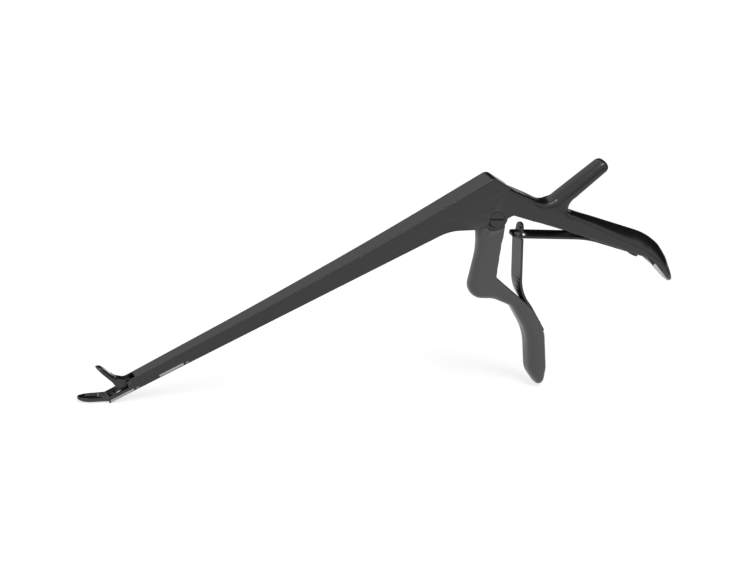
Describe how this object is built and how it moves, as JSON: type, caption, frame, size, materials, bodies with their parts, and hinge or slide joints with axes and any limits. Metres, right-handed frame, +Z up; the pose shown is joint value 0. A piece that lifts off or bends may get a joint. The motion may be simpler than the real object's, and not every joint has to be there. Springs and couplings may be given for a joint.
{
  "type": "bone rongeur",
  "caption": "Bone rongeur: a sliding shaft swings an upper cup jaw onto a fixed lower cup, driven by a hinged lever that two crossed leaf springs push open.",
  "frame": {"origin": "middle of the bounding box's underside: the plane that the lower jaw and the lever's end stand on", "axes": "+X level, from the jaws towards the handles; +Y across the instrument, away from the screw head's side; +Z up"},
  "size_m": [0.2396, 0.0114, 0.0948],
  "materials": {
    "black_coating": "satin black hard coating on steel",
    "spring_steel": "satin black coated spring steel",
    "screw_steel": "smooth black coated steel",
    "pin_steel": "ground flush, black coated steel"
  },
  "bodies": {
    "handle": {"handle_body": "black_coating", "jaw_pivot_pin": "pin_steel", "lever_pivot_screw": "screw_steel", "rear_leaf_spring": "spring_steel", "rear_spring_screw": "screw_steel"},
    "slider": {"sliding_shaft": "black_coating", "jaw_link_pin": "pin_steel"},
    "jaw": {"upper_jaw": "black_coating"},
    "lever": {"front_lever": "black_coating", "front_leaf_spring": "spring_steel", "front_spring_screw": "screw_steel"}
  },
  "joints": [
    {"name": "lever_squeeze", "type": "hinge", "parent": "handle", "child": "lever", "pos_m": [0.03356, 0, 0.07179], "axis": [0, -1, 0], "range_deg": [0, 14], "stiffness_Nm_per_rad": 3, "springref_deg": -5.73, "deforming": ["front_leaf_spring", "rear_leaf_spring"]},
    {"name": "shaft_slide", "type": "slide", "parent": "handle", "child": "slider", "axis": [-0.8719, 0, -0.4897], "range_m": [0, 0.00261]},
    {"name": "jaw_close", "type": "hinge", "parent": "handle", "child": "jaw", "pos_m": [-0.10303, 0, 0.00419], "axis": [0, -1, 0], "range_deg": [0, 41.01]}
  ],
  "couplings": [
    {"joint": "shaft_slide", "follows": "lever_squeeze", "m_per_rad": 0.010693},
    {"joint": "jaw_close", "follows": "lever_squeeze", "ratio": 2.9286}
  ]
}
